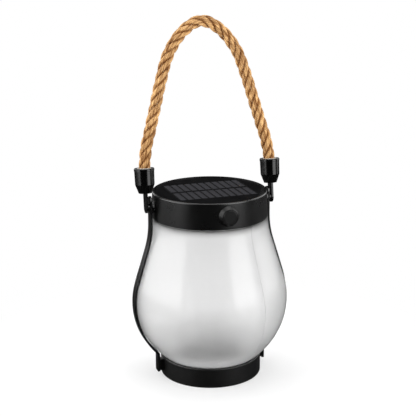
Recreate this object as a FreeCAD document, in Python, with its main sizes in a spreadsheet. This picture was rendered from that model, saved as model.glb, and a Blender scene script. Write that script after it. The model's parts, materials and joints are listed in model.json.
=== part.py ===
import FreeCAD, Part
import math
import os
import re
import Sketcher

# Solar jar lantern with a rope handle.
# Millimetres. +Z is up, the origin is the centre of the base's underside.
# X runs through the two straps and pivots, and -Y is the front, with the button.

# Driving sizes

SIZES = {
    # base cup
    "base_height": 16.5,
    "base_wall": 2.2,
    "base_clear": 0.4,
    "base_floor": 2.4,
    "base_hollow": 1.2,
    "foot_width": 4.5,
    "base_round": 0.8,
    "base_edge": 0.5,
    "seat_radius": 28.0,
    "seat_width": 4.0,
    "lug_length": 3.4,
    "lug_width": 5.6,
    "lug_low": 5.4,
    "lug_high": 15.2,
    # jar
    "jar_seat": 12.0,
    "jar_height": 138.5,
    "jar_wall": 2.0,
    "neck_proud": 0.1,
    "belly_radius": 65.3,
    "belly_height": 67.0,
    "belly_round": 56.5,
    "belly_low_round": 63.5,
    "flare_height": 20.0,
    "shoulder_round": 0.6,
    "spigot_height": 3.4,
    "spigot_wall": 2.2,
    "seal_low": 0.8,
    "seal_height": 1.6,
    "seal_depth": 1.0,
    # cap
    "cap_height": 21.5,
    "cap_radius": 48.6,
    "cap_draft": 0.7,
    "cap_wall": 2.3,
    "cap_rim": 2.2,
    "cap_round": 1.1,
    "deck_drop": 2.4,
    "deck_thickness": 1.5,
    "lead_hole_radius": 6.0,
    "post_circle": 33.0,
    "post_radius": 3.5,
    # solar panel
    "panel_thickness": 2.0,
    "cell_columns": 11,
    "cell_length": 24.4,
    "cell_width": 5.3,
    "cell_pitch": 6.04,
    "cell_row_gap": 1.5,
    "cell_thickness": 0.3,
    "cell_margin": 0.5,
    # pivots
    "pivot_drop": 10.8,
    "boss_radius": 5.0,
    "boss_length": 1.9,
    "boss_inset": 0.8,
    "peg_radius": 2.5,
    "shoulder_radius": 3.5,
    "shoulder_length": 1.55,
    "washer_radius": 4.5,
    "washer_thickness": 0.8,
    "pivot_head_radius": 3.0,
    "pivot_head_height": 1.9,
    "pivot_shank_radius": 1.1,
    "pivot_shank_length": 6.0,
    # straps
    "strap_width": 8.0,
    "strap_thickness": 2.0,
    "strap_gap": 0.4,
    "strap_flare": 75.0,
    "strap_edge": 0.4,
    "strap_bend": 3.0,
    "strap_tail": 9.4,
    "strap_foot": 4.4,
    "strap_foot_round": 1.2,
    "strap_peg_radius": 1.8,
    "strap_peg_length": 3.4,
    # rope ends
    "tab_thickness": 1.5,
    "tab_width": 9.2,
    "ferrule_foot": 12.1,
    "ferrule_length": 20.6,
    "ferrule_cone": 7.2,
    "ferrule_foot_radius": 5.4,
    "ferrule_waist_radius": 8.0,
    "ferrule_top_radius": 8.4,
    "ferrule_lip": 2.3,
    "ferrule_lip_step": 0.2,
    "ferrule_edge": 0.5,
    "mouth_radius": 6.8,
    "mouth_depth": 1.1,
    "rope_depth": 12.7,
    "rope_diameter": 9.5,
    "glue_rise": 1.2,
    "handle_lean": 7.0,
    # button and switch
    "button_radius": 5.65,
    "button_proud": 0.5,
    "button_edge": 0.4,
    "button_flange_step": 0.95,
    "button_flange": 1.0,
    "button_travel": 1.2,
    "bezel_lip": 0.77,
    "bezel_flare": 2.0,
    "bezel_edge": 0.3,
    "bezel_height": 3.4,
    "stem_radius": 2.0,
    "plunger_reach": 2.4,
    "plunger_depth": 2.2,
    "switch_front": 40.0,
    "switch_side": 12.0,
    "switch_depth": 6.0,
    "switch_board_width": 16.0,
    "switch_board_height": 14.4,
    # tray, lamp and electronics
    "tray_level": 2.4,
    "tray_thickness": 2.0,
    "pod_radius": 18.0,
    "pod_wall": 1.8,
    "pod_depth": 10.0,
    "shelf_radius": 12.0,
    "shelf_drop": 5.4,
    "shelf_thickness": 1.5,
    "lens_flange": 1.4,
    "lens_drop": 7.6,
    "lens_wall": 1.2,
    "led_circle": 8.0,
    "led_side": 3.0,
    "led_thickness": 0.8,
    "board_thickness": 1.2,
    "control_length": 26.0,
    "control_width": 16.0,
    "control_back": 4.0,
    "rail_height": 2.0,
    "rail_width": 1.6,
    "battery_radius": 7.05,
    "battery_length": 50.0,
    "battery_edge": 0.6,
    "battery_tip": 1.0,
    "battery_tip_radius": 2.8,
    "battery_back": 20.0,
    "battery_lift": 0.35,
    "saddle_height": 4.5,
    "saddle_width": 3.0,
    "saddle_spread": 15.0,
    "contact_thickness": 0.5,
    "contact_width": 9.0,
    "contact_foot": 4.0,
    "screw_head_radius": 2.8,
    "screw_head_height": 1.6,
    "screw_shank_radius": 1.3,
    "screw_shank_length": 8.0,
    "lead_radius": 0.6,
    # clearances
    "running_gap": 0.08,
    "slip_gap": 0.3,
    "face_gap": 0.12,
}

# Sizes that follow from the driving ones

DERIVED = {
    "cap_top": "jar_height + cap_height",
    "neck_radius": "cap_radius + neck_proud",
    "cap_bore": "cap_radius - cap_wall",
    "cap_top_radius": "cap_radius - cap_draft",
    "deck_top": "cap_top - deck_drop",
    "deck_low": "deck_top - deck_thickness",
    "pivot_height": "cap_top - pivot_drop",
    "cap_waist_radius": "cap_radius - cap_draft * (pivot_height - jar_height) / cap_height",
    "spigot_radius": "cap_bore - slip_gap",
    "spigot_bore": "spigot_radius - spigot_wall",
    # the jar's wall leaves the belly's arc at this slope and runs straight to the neck's flare
    "belly_axis": "belly_radius - belly_round",
    "belly_low_axis": "belly_radius - belly_low_round",
    "belly_to_neck": "neck_radius - belly_axis",
    "belly_to_flare": "jar_height - flare_height - belly_height",
    "slope_sum": "flare_height + 2 * belly_to_flare",
    "slope_spread": "4 * (belly_to_neck + belly_round) * (belly_round - belly_to_neck)",
    "slope_root": "sqrt(slope_sum ^ 2 - slope_spread)",
    "slope_tangent": "(slope_sum - slope_root) / (2 * (belly_to_neck + belly_round))",
    "jar_slope": "2 * atan(slope_tangent)",
    # the base cup clears the jar at its brim
    "brim_fall": "belly_height - base_height",
    "brim_radius": "belly_low_axis + sqrt(belly_low_round ^ 2 - brim_fall ^ 2)",
    "base_radius": "brim_radius + base_clear + base_wall",
    # straps, along the middle of their thickness
    "strap_top_x": "cap_radius + boss_length + strap_thickness / 2",
    "strap_foot_x": "base_radius + lug_length + strap_thickness / 2",
    "strap_round": "belly_round + strap_gap + strap_thickness / 2",
    "strap_low_round": "belly_low_round + strap_gap + strap_thickness / 2",
    "strap_leave_x": "belly_axis + strap_round * cos(jar_slope)",
    "strap_leave_z": "belly_height + strap_round * sin(jar_slope)",
    "strap_meet_z": "strap_leave_z + (strap_leave_x - strap_top_x) / tan(jar_slope)",
    "strap_ease": "strap_flare * tan(jar_slope / 2)",
    "bend_reach": "strap_foot_x + strap_bend - belly_low_axis",
    "bend_span": "strap_low_round + strap_bend",
    "bend_fall": "sqrt(bend_span ^ 2 - bend_reach ^ 2)",
    # rope ends
    "hanger_x": "strap_top_x + strap_thickness / 2 + face_gap + shoulder_length + tab_thickness / 2",
    "ferrule_top": "ferrule_foot + ferrule_length",
    "ferrule_waist": "ferrule_foot + ferrule_cone",
    "rope_bore": "rope_diameter / 2 + running_gap",
    "rope_start": "ferrule_top - rope_depth",
    # peg, washer and screw inside the cap, along X
    "boss_inner_x": "cap_bore - boss_inset",
    "peg_end_x": "boss_inner_x - face_gap",
    "washer_inner_x": "peg_end_x - washer_thickness",
    # button and switch, distances in front of the axis
    "bezel_top_radius": "button_radius + running_gap + bezel_lip",
    "bezel_radius": "bezel_top_radius + bezel_flare",
    "button_flange_radius": "button_radius + button_flange_step",
    "bezel_front": "cap_waist_radius + bezel_height",
    "button_front": "bezel_front + button_proud",
    "button_back": "cap_waist_radius - cap_wall - 2 * slip_gap",
    "plunger_front": "switch_front + plunger_reach",
    "switch_back": "switch_front - switch_depth",
    # tray and lamp
    "tray_top": "jar_height + tray_level",
    "tray_low": "tray_top - tray_thickness",
    "tray_radius": "spigot_bore - slip_gap",
    "pod_bore": "pod_radius - pod_wall",
    "shelf_low": "tray_low - shelf_drop",
    "led_board_low": "shelf_low - board_thickness",
    "lens_rim": "pod_bore - slip_gap",
    "lens_low": "led_board_low - lens_flange",
    "control_low": "tray_top + rail_height",
    "control_top": "control_low + board_thickness",
    "battery_height": "tray_top + battery_lift + battery_radius",
}

# Rope route in the handle's plane: distance from the middle, height above the pivots.
# It rises out of one ferrule, leans in, turns over the top and comes down the same way.

ROPE_SIDE = [
    (46.7, 67.5),
    (38.0, 100.0),
    (28.3, 129.3),
    (8.7, 149.1),
]
ROPE_FIRST_RISE = 41.0

document = FreeCAD.newDocument("lantern")
sheet = document.addObject("Spreadsheet::Sheet", "Sizes")
for row, (alias, amount) in enumerate(SIZES.items(), start=1):
    sheet.set(f"A{row}", alias)
    sheet.set(f"B{row}", str(amount))
    sheet.setAlias(f"B{row}", alias)
document.recompute()

derived = document.addObject("App::VarSet", "Derived")


def bind(formula):
    """Point each size's name in a formula at the object that holds it."""
    def owner(found):
        word = found.group(0)
        if word in SIZES:
            return f"Sizes.{word}"
        if word in DERIVED:
            return f"Derived.{word}"
        return word
    return re.sub(r"[a-z_]+", owner, formula)


for alias, formula in DERIVED.items():
    derived.addProperty("App::PropertyFloat", alias, "Lantern")
    derived.setExpression(alias, bind(formula))
    document.recompute()


def number(formula):
    """Value of a formula of sizes, in millimetres or degrees."""
    return float(sheet.evalExpression(bind(formula)))


# Sketch and feature helpers

PARTS = {}


def new_body(label):
    body = document.addObject("PartDesign::Body", label)
    body.Label = label
    PARTS[label] = body
    return body


def new_sketch(body, name, plane, level="0"):
    """Empty sketch on one of the body's origin planes, moved along its normal by level."""
    sketch = body.newObject("Sketcher::SketchObject", f"{body.Name}_{name}")
    for feature in body.Origin.OriginFeatures:
        if feature.Role == plane:
            sketch.AttachmentSupport = (feature, "")
    sketch.MapMode = "FlatFace"
    sketch.setExpression("AttachmentOffset.Base.z", bind(level))
    return sketch


def hold_point(sketch, curve, end, across, up):
    """Fix a curve's end at two formulas, measured from the sketch's origin."""
    for kind, axis, formula in (("DistanceX", -2, across), ("DistanceY", -1, up)):
        if formula == "0":
            sketch.addConstraint(Sketcher.Constraint("PointOnObject", curve, end, axis))
        else:
            held = sketch.addConstraint(
                Sketcher.Constraint(kind, -1, 1, curve, end, number(formula)))
            sketch.setExpression(f"Constraints[{held}]", bind(formula))


def arc_between(start, end, radius, turn):
    """Arc under a half circle; turn is 1 for anticlockwise and -1 for clockwise."""
    chord = end - start
    side = FreeCAD.Vector(-chord.y, chord.x, 0)
    side.normalize()
    reach = math.sqrt(radius ** 2 - chord.Length ** 2 / 4)
    centre = (start + end) * 0.5 + side * (turn * reach)
    first, last = (start, end) if turn > 0 else (end, start)
    circle = Part.Circle(centre, FreeCAD.Vector(0, 0, 1), radius)
    begin = math.atan2(first.y - centre.y, first.x - centre.x)
    finish = math.atan2(last.y - centre.y, last.x - centre.x)
    return Part.ArcOfCircle(circle, begin, finish)


def chain(sketch, corners, closed=True):
    """Join corners by lines, or by an arc where a corner gives a radius and a turn."""
    places = [FreeCAD.Vector(number(corner[0]), number(corner[1]), 0) for corner in corners]
    count = len(corners) if closed else len(corners) - 1
    ends = []
    for index in range(count):
        start = places[index]
        end = places[(index + 1) % len(corners)]
        corner = corners[index]
        if len(corner) == 4:
            curve = sketch.addGeometry(arc_between(start, end, number(corner[2]), corner[3]))
            held = sketch.addConstraint(Sketcher.Constraint("Radius", curve, number(corner[2])))
            sketch.setExpression(f"Constraints[{held}]", bind(corner[2]))
            ends.append((curve, 1, 2) if corner[3] > 0 else (curve, 2, 1))
        else:
            ends.append((sketch.addGeometry(Part.LineSegment(start, end)), 1, 2))
    for index, (curve, first, last) in enumerate(ends):
        hold_point(sketch, curve, first, corners[index][0], corners[index][1])
        if closed or index + 1 < count:
            after = ends[(index + 1) % count]
            sketch.addConstraint(
                Sketcher.Constraint("Coincident", curve, last, after[0], after[1]))
        else:
            hold_point(sketch, curve, last, corners[-1][0], corners[-1][1])
    return sketch


def outline(body, name, plane, corners, level="0"):
    return chain(new_sketch(body, name, plane, level), corners)


def rectangle(body, name, plane, low, high, level="0"):
    corners = [(low[0], low[1]), (high[0], low[1]), (high[0], high[1]), (low[0], high[1])]
    return outline(body, name, plane, corners, level)


def circles(body, name, plane, centres, radius, level="0"):
    sketch = new_sketch(body, name, plane, level)
    for across, up in centres:
        middle = FreeCAD.Vector(number(across), number(up), 0)
        curve = sketch.addGeometry(
            Part.Circle(middle, FreeCAD.Vector(0, 0, 1), number(radius)))
        hold_point(sketch, curve, 3, across, up)
        held = sketch.addConstraint(Sketcher.Constraint("Radius", curve, number(radius)))
        sketch.setExpression(f"Constraints[{held}]", bind(radius))
    return sketch


def extrude(kind, sketch, length, flip, both):
    body = sketch.getParentGeoFeatureGroup()
    feature = body.newObject(f"PartDesign::{kind}", f"{sketch.Name}_{kind}")
    feature.Profile = sketch
    feature.setExpression("Length", bind(length))
    feature.Reversed = flip
    if both:
        feature.SideType = "Symmetric"
    return feature


def pad(sketch, length, flip=False, both=False):
    feature = extrude("Pad", sketch, length, flip, both)
    document.recompute()
    return feature


def checked_cut(feature):
    """Build a cut and make sure that it took material away."""
    document.recompute()
    before = feature.BaseFeature.Shape.Volume
    if not feature.Shape.Volume < before - 1e-6:
        raise RuntimeError(f"{feature.Name} cuts nothing")
    return feature


def pocket(sketch, length, flip=False, both=False):
    return checked_cut(extrude("Pocket", sketch, length, flip, both))


def spin(kind, sketch, axis):
    body = sketch.getParentGeoFeatureGroup()
    feature = body.newObject(f"PartDesign::{kind}", f"{sketch.Name}_{kind}")
    feature.Profile = sketch
    feature.ReferenceAxis = (sketch, [axis])
    feature.Angle = 360
    return feature


def revolve(sketch, axis="V_Axis"):
    feature = spin("Revolution", sketch, axis)
    document.recompute()
    return feature


def groove(sketch, axis="V_Axis"):
    return checked_cut(spin("Groove", sketch, axis))


def round_edges(body, name, radius, chosen):
    """Fillet the edges of the body so far whose middle point is chosen."""
    base = body.Tip
    edges = []
    for index, edge in enumerate(base.Shape.Edges, start=1):
        middle = edge.valueAt((edge.FirstParameter + edge.LastParameter) / 2)
        if chosen(edge, middle):
            edges.append(f"Edge{index}")
    feature = body.newObject("PartDesign::Fillet", f"{body.Name}_{name}")
    feature.Base = (base, edges)
    feature.setExpression("Radius", bind(radius))
    document.recompute()
    return feature


def mirror(body, features, plane):
    feature = body.newObject("PartDesign::Mirrored", f"{body.Name}_mirrored")
    feature.Originals = features
    for origin in body.Origin.OriginFeatures:
        if origin.Role == plane:
            feature.MirrorPlane = (origin, [""])
    body.Tip = feature
    document.recompute()
    return feature


def near(amount, formula):
    return abs(amount - number(formula)) < 1e-4


def ring_edge(radius, height):
    """Chooser of the round edges about Z at a radius and a height."""
    def chosen(edge, middle):
        flat = near(middle.z, height)
        return flat and near(math.hypot(middle.x, middle.y), radius)
    return chosen


POSTS = [(f"post_circle * cos({turn})", f"post_circle * sin({turn})") for turn in (90, 210, 330)]


# Base cup, with a ring that carries the jar and two lugs that the straps peg into

def make_base_cup():
    body = new_body("base_cup")
    revolve(outline(body, "section", "XZ_Plane", [
        ("0", "base_hollow"),
        ("base_radius - foot_width", "base_hollow"),
        ("base_radius - foot_width", "0"),
        ("base_radius", "0"),
        ("base_radius", "base_height"),
        ("base_radius - base_wall", "base_height"),
        ("base_radius - base_wall", "base_hollow + base_floor"),
        ("seat_radius", "base_hollow + base_floor"),
        ("seat_radius", "jar_seat"),
        ("seat_radius - seat_width", "jar_seat"),
        ("seat_radius - seat_width", "base_hollow + base_floor"),
        ("0", "base_hollow + base_floor"),
    ]))
    round_edges(body, "foot", "base_round", ring_edge("base_radius", "0"))
    round_edges(body, "brim", "base_edge", ring_edge("base_radius", "base_height"))
    lug = pad(rectangle(
        body, "lug", "YZ_Plane", ("-lug_width / 2", "lug_low"), ("lug_width / 2", "lug_high"),
        "base_radius - base_wall / 2"), "lug_length + base_wall / 2")
    socket = pocket(circles(
        body, "socket", "YZ_Plane", [("0", "(lug_low + lug_high) / 2")],
        "strap_peg_radius + running_gap", "base_radius + lug_length"),
        "strap_peg_length + slip_gap")
    mirror(body, [lug, socket], "YZ_Plane")


# Jar: a round belly, a straight shoulder and a flared neck, with a spigot inside the cap

def jar_section(inset, low, high):
    """Corners of the jar's wall from its flat bottom to its neck, moved in by inset."""
    belly = f"(belly_round - {inset})"
    under = f"(belly_low_round - {inset})"
    rise = f"({high} - belly_height - {belly} * sin(jar_slope))"
    flare = f"((neck_radius - {inset} + tan(jar_slope) * {rise}"
    flare += f" - belly_axis - {belly} * cos(jar_slope)) / (1 / cos(jar_slope) - 1))"
    return [
        (f"belly_low_axis + sqrt({under} ^ 2 - (belly_height - {low}) ^ 2)", low, under, 1),
        (f"belly_radius - {inset}", "belly_height", belly, 1),
        (f"belly_axis + {belly} * cos(jar_slope)", f"belly_height + {belly} * sin(jar_slope)"),
        (f"neck_radius - {inset} + {flare} * (1 - cos(jar_slope))",
         f"{high} - {flare} * sin(jar_slope)", flare, -1),
        (f"neck_radius - {inset}", high),
    ]


def make_jar():
    body = new_body("jar")
    revolve(outline(body, "outside", "XZ_Plane", [
        ("0", "jar_seat"),
        *jar_section("0", "jar_seat", "jar_height"),
        ("spigot_radius", "jar_height"),
        ("spigot_radius", "jar_height + seal_low"),
        ("spigot_radius - seal_depth", "jar_height + seal_low"),
        ("spigot_radius - seal_depth", "jar_height + seal_low + seal_height"),
        ("spigot_radius", "jar_height + seal_low + seal_height"),
        ("spigot_radius", "jar_height + spigot_height"),
        ("0", "jar_height + spigot_height"),
    ]))
    groove(outline(body, "inside", "XZ_Plane", [
        ("0", "jar_seat + jar_wall"),
        *jar_section("jar_wall", "(jar_seat + jar_wall)", "(jar_height - jar_wall)"),
        ("spigot_bore", "jar_height - jar_wall"),
        ("spigot_bore", "jar_height + spigot_height + slip_gap"),
        ("0", "jar_height + spigot_height + slip_gap"),
    ]))
    round_edges(body, "shoulder", "shoulder_round", ring_edge("neck_radius", "jar_height"))


def make_neck_seal():
    body = new_body("neck_seal")
    revolve(rectangle(
        body, "section", "XZ_Plane",
        ("spigot_radius - seal_depth", "jar_height + seal_low"),
        ("cap_bore - running_gap", "jar_height + seal_low + seal_height")))


# Cap: drafted shell with a deck under the panel, pivot bosses, screw posts and a button hole

def make_cap_housing():
    body = new_body("cap_housing")
    revolve(outline(body, "section", "XZ_Plane", [
        ("0", "deck_low"),
        ("cap_bore", "deck_low"),
        ("cap_bore", "jar_height"),
        ("cap_radius", "jar_height"),
        ("cap_top_radius", "cap_top"),
        ("cap_top_radius - cap_rim", "cap_top"),
        ("cap_top_radius - cap_rim", "deck_top"),
        ("0", "deck_top"),
    ]))
    round_edges(body, "rim", "cap_round", ring_edge("cap_top_radius", "cap_top"))
    pad(circles(body, "posts", "XY_Plane", POSTS, "post_radius", "tray_top"),
        "deck_low - tray_top + deck_thickness / 2")
    pocket(circles(body, "pilots", "XY_Plane", POSTS,
                   "screw_shank_radius + running_gap", "tray_top"),
           "screw_shank_length - tray_thickness + slip_gap", flip=True)
    pocket(circles(body, "lead_hole", "XY_Plane", [("0", "-control_back")],
                   "lead_hole_radius", "deck_top"), "deck_thickness")
    pocket(circles(body, "button_hole", "XZ_Plane", [("0", "pivot_height")],
                   "button_radius + slip_gap"), "cap_radius", flip=True)
    boss = pad(circles(body, "boss", "YZ_Plane", [("0", "pivot_height")],
                       "boss_radius", "boss_inner_x"),
               "cap_radius + boss_length - boss_inner_x")
    mirror(body, [boss], "YZ_Plane")
    pocket(circles(body, "pivot_bore", "YZ_Plane", [("0", "pivot_height")],
                   "peg_radius + running_gap"), "4 * cap_radius", both=True)


# Solar panel: round board with a shallow window, and the cells that lie in it

def make_solar_panel():
    body = new_body("solar_panel")
    revolve(rectangle(body, "section", "XZ_Plane", ("0", "deck_top"),
                      ("cap_top_radius - cap_rim - slip_gap", "deck_top + panel_thickness")))
    half_length = "(cell_columns * cell_pitch / 2 + cell_margin)"
    half_width = "(cell_length + cell_row_gap / 2 + cell_margin)"
    pocket(rectangle(body, "window", "XY_Plane",
                     (f"-{half_length}", f"-{half_width}"), (half_length, half_width),
                     "deck_top + panel_thickness"), "cell_thickness")


def make_solar_cells():
    cells = []
    for back, start in ((0, "-cell_row_gap / 2 - cell_length"), (1, "cell_row_gap / 2")):
        for column in range(round(number("cell_columns"))):
            cell = document.addObject("Part::Box", f"solar_cell_{back}_{column}")
            cell.setExpression("Length", bind("cell_width"))
            cell.setExpression("Width", bind("cell_length"))
            cell.setExpression("Height", bind("cell_thickness"))
            across = f"({column} + 0.5 - cell_columns / 2) * cell_pitch - cell_width / 2"
            cell.setExpression("Placement.Base.x", bind(across))
            cell.setExpression("Placement.Base.y", bind(start))
            cell.setExpression(
                "Placement.Base.z", bind("deck_top + panel_thickness - cell_thickness"))
            cells.append(cell)
    group = document.addObject("Part::Compound", "solar_cells")
    group.Label = "solar_cells"
    group.Links = cells
    PARTS["solar_cells"] = group


# Button: a conical ring on the cap's wall, and the disc that slides in it

def make_button_bezel():
    body = new_body("button_bezel")
    ring = outline(body, "section", "XY_Plane", [
        ("button_radius + running_gap", "-cap_waist_radius + cap_wall"),
        ("bezel_radius", "-cap_waist_radius + cap_wall"),
        ("bezel_radius", "-cap_waist_radius"),
        ("bezel_top_radius", "-bezel_front"),
        ("button_radius + running_gap", "-bezel_front"),
    ])
    revolve(ring)

    def lip(edge, middle):
        across = math.hypot(middle.x, middle.z)
        return near(middle.y, "-bezel_front") and near(across, "bezel_top_radius")

    round_edges(body, "lip", "bezel_edge", lip)
    body.Placement.Base = FreeCAD.Vector(0, 0, number("pivot_height"))
    groove(outline(body, "seat", "XZ_Plane", [
        ("0", "jar_height - pivot_height"),
        ("cap_radius + running_gap", "jar_height - pivot_height"),
        ("cap_top_radius + running_gap", "cap_top - pivot_height"),
        ("0", "cap_top - pivot_height"),
    ]))


def make_push_button():
    body = new_body("push_button")
    revolve(outline(body, "section", "XY_Plane", [
        ("0", "-button_front"),
        ("button_radius - button_edge", "-button_front"),
        ("button_radius", "-button_front + button_edge"),
        ("button_radius", "-button_back"),
        ("button_flange_radius", "-button_back"),
        ("button_flange_radius", "-button_back + button_flange"),
        ("stem_radius", "-button_back + button_flange"),
        ("stem_radius", "-plunger_front"),
        ("0", "-plunger_front"),
    ]))
    body.Placement.Base = FreeCAD.Vector(0, 0, number("pivot_height"))


def make_switch():
    body = new_body("switch_body")
    pad(rectangle(body, "case", "XZ_Plane",
                  ("-switch_side / 2", "pivot_height - switch_side / 2"),
                  ("switch_side / 2", "pivot_height + switch_side / 2"), "switch_back"),
        "switch_depth")
    pocket(circles(body, "bore", "XZ_Plane", [("0", "pivot_height")],
                   "stem_radius + running_gap", "switch_front"),
           "plunger_depth + button_travel + slip_gap")
    plunger = new_body("switch_plunger")
    pad(circles(plunger, "rod", "XZ_Plane", [("0", "pivot_height")], "stem_radius",
                "switch_front - plunger_depth"), "plunger_depth + plunger_reach")
    board = new_body("switch_board")
    pad(rectangle(board, "board", "XZ_Plane", ("-switch_board_width / 2", "tray_top"),
                  ("switch_board_width / 2", "tray_top + switch_board_height"),
                  "switch_back - board_thickness"), "board_thickness")


# Straps: bands that hang from the pivot bosses, follow the jar and peg into the base

def make_strap(label, half_turn):
    body = new_body(label)
    path = new_sketch(body, "path", "XZ_Plane")
    chain(path, [
        ("strap_top_x", "pivot_height + strap_tail"),
        ("strap_top_x", "strap_meet_z + strap_ease", "strap_flare", 1),
        ("strap_top_x + strap_ease * sin(jar_slope)", "strap_meet_z - strap_ease * cos(jar_slope)"),
        ("strap_leave_x", "strap_leave_z", "strap_round", -1),
        ("belly_axis + strap_round", "belly_height", "strap_low_round", -1),
        ("belly_low_axis + strap_low_round * bend_reach / bend_span",
         "belly_height - strap_low_round * bend_fall / bend_span", "strap_bend", 1),
        ("strap_foot_x", "belly_height - bend_fall"),
        ("strap_foot_x", "strap_foot"),
    ], closed=False)
    profile = rectangle(
        body, "band", "XY_Plane",
        ("strap_top_x - strap_thickness / 2", "-strap_width / 2"),
        ("strap_top_x + strap_thickness / 2", "strap_width / 2"), "pivot_height + strap_tail")
    band = body.newObject("PartDesign::AdditivePipe", f"{label}_sweep")
    band.Profile = profile
    band.Spine = (path, [f"Edge{index}" for index in range(1, 8)])
    document.recompute()

    def end_corner(height):
        def chosen(edge, middle):
            return near(middle.z, height) and near(abs(middle.y), "strap_width / 2")
        return chosen

    round_edges(body, "top", "strap_width / 2 - running_gap",
                end_corner("pivot_height + strap_tail"))
    round_edges(body, "foot", "strap_foot_round", end_corner("strap_foot"))

    def long_edge(edge, middle):
        return near(abs(middle.y), "strap_width / 2")

    round_edges(body, "edge", "strap_edge", long_edge)
    pocket(circles(body, "pivot_hole", "YZ_Plane", [("0", "pivot_height")],
                   "peg_radius + slip_gap"), "2 * cap_radius", flip=True)
    pad(circles(body, "peg", "YZ_Plane", [("0", "(lug_low + lug_high) / 2")],
                "strap_peg_radius", "strap_foot_x - strap_thickness / 2"),
        "strap_peg_length", flip=True)
    body.Placement.Rotation = FreeCAD.Rotation(FreeCAD.Vector(0, 0, 1), half_turn)


# Rope ends: ferrule, tab and pivot peg in one, made upright about the ferrule's own axis

def handle_placement(half_turn=0, reach="0"):
    """Lean a piece of the handle back about the pivots, on one side or the other."""
    step = FreeCAD.Placement(FreeCAD.Vector(number(reach), 0, 0), FreeCAD.Rotation())
    side = FreeCAD.Placement(
        FreeCAD.Vector(), FreeCAD.Rotation(FreeCAD.Vector(0, 0, 1), half_turn))
    lean = FreeCAD.Placement(
        FreeCAD.Vector(0, 0, number("pivot_height")),
        FreeCAD.Rotation(FreeCAD.Vector(1, 0, 0), -number("handle_lean")))
    return lean.multiply(side).multiply(step)


def make_rope_end(label, half_turn):
    body = new_body(label)
    revolve(outline(body, "ferrule", "XZ_Plane", [
        ("0", "ferrule_foot"),
        ("ferrule_foot_radius", "ferrule_foot"),
        ("ferrule_waist_radius", "ferrule_waist"),
        ("ferrule_top_radius - ferrule_lip_step", "ferrule_top - ferrule_lip"),
        ("ferrule_top_radius", "ferrule_top - ferrule_lip + ferrule_lip_step"),
        ("ferrule_top_radius", "ferrule_top - ferrule_edge"),
        ("ferrule_top_radius - ferrule_edge", "ferrule_top"),
        ("mouth_radius", "ferrule_top"),
        ("mouth_radius - ferrule_edge", "ferrule_top - mouth_depth"),
        ("rope_bore", "ferrule_top - mouth_depth"),
        ("rope_bore", "rope_start"),
        ("0", "rope_start"),
    ]))
    pad(outline(body, "tab", "YZ_Plane", [
        ("-tab_width / 2", "ferrule_foot + ferrule_cone / 2"),
        ("-tab_width / 2", "0", "tab_width / 2", 1),
        ("0", "-tab_width / 2", "tab_width / 2", 1),
        ("tab_width / 2", "0"),
        ("tab_width / 2", "ferrule_foot + ferrule_cone / 2"),
    ]), "tab_thickness", both=True)
    pad(circles(body, "shoulder", "YZ_Plane", [("0", "0")], "shoulder_radius",
                "-tab_thickness / 2"), "shoulder_length", flip=True)
    pad(circles(body, "peg", "YZ_Plane", [("0", "0")], "peg_radius",
                "-tab_thickness / 2 - shoulder_length"),
        "hanger_x - tab_thickness / 2 - shoulder_length - peg_end_x", flip=True)
    pilot = circles(body, "pilot", "YZ_Plane", [("0", "0")],
                    "pivot_shank_radius + running_gap", "peg_end_x - hanger_x")
    pocket(pilot, "pivot_shank_length + slip_gap", flip=True)
    body.Placement = handle_placement(half_turn, "hanger_x")


def make_glue(label, half_turn):
    body = new_body(label)
    low = "ferrule_top - mouth_depth"
    revolve(outline(body, "fillet", "XZ_Plane", [
        ("rope_bore", low),
        ("mouth_radius - ferrule_edge", low),
        ("mouth_radius - ferrule_edge", f"{low} + glue_rise / 4", "2 * glue_rise", -1),
        ("rope_bore", f"{low} + glue_rise"),
    ]))
    body.Placement = handle_placement(half_turn, "hanger_x")


# Washers and screws that hold the pegs, one of each on either side of the cap

def make_pivot_fixings():
    for label, section in (
            ("pivot_washers", [
                ("peg_end_x", "pivot_shank_radius + running_gap"),
                ("peg_end_x", "washer_radius"),
                ("washer_inner_x", "washer_radius"),
                ("washer_inner_x", "pivot_shank_radius + running_gap"),
            ]),
            ("pivot_screws", [
                ("washer_inner_x - pivot_head_height", "0"),
                ("washer_inner_x - pivot_head_height", "pivot_head_radius / 2"),
                ("washer_inner_x - pivot_head_height / 2", "pivot_head_radius"),
                ("washer_inner_x", "pivot_head_radius"),
                ("washer_inner_x", "pivot_shank_radius"),
                ("peg_end_x + pivot_shank_length", "pivot_shank_radius"),
                ("peg_end_x + pivot_shank_length", "0"),
            ])):
        body = new_body(label)
        turned = revolve(outline(body, "section", "XZ_Plane", section), "H_Axis")
        mirror(body, [turned], "YZ_Plane")
        body.Placement = handle_placement()


# Round tubes along straight runs and tangent arcs

def tube(points, radius, share=0.45):
    """Sweep a round section along points whose corners are rounded as far as the runs allow."""
    edges = []
    radii = []
    start = points[0]
    for before, corner, after in zip(points, points[1:], points[2:]):
        into = corner - before
        out = after - corner
        reach = share * min(into.Length, out.Length)
        turn = into.getAngle(out)
        radii.append(reach / math.tan(turn / 2))
        first = corner - into * (reach / into.Length)
        last = corner + out * (reach / out.Length)
        inward = (first + last) * 0.5 - corner
        depth = radii[-1] / math.cos(turn / 2) - radii[-1]
        middle = corner + inward * (depth / inward.Length)
        edges.append(Part.LineSegment(start, first).toShape())
        edges.append(Part.Arc(first, middle, last).toShape())
        start = last
    edges.append(Part.LineSegment(start, points[-1]).toShape())
    path = Part.Wire(edges)
    ring = Part.Wire(Part.makeCircle(radius, points[0], points[1] - points[0]))
    solid = path.makePipeShell([ring], True, False)
    expected = math.pi * radius ** 2 * path.Length
    if abs(solid.Volume - expected) > 0.01 * expected:
        raise RuntimeError("a tube's volume is not its section times its length")
    return solid, path.Length, radii


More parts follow.
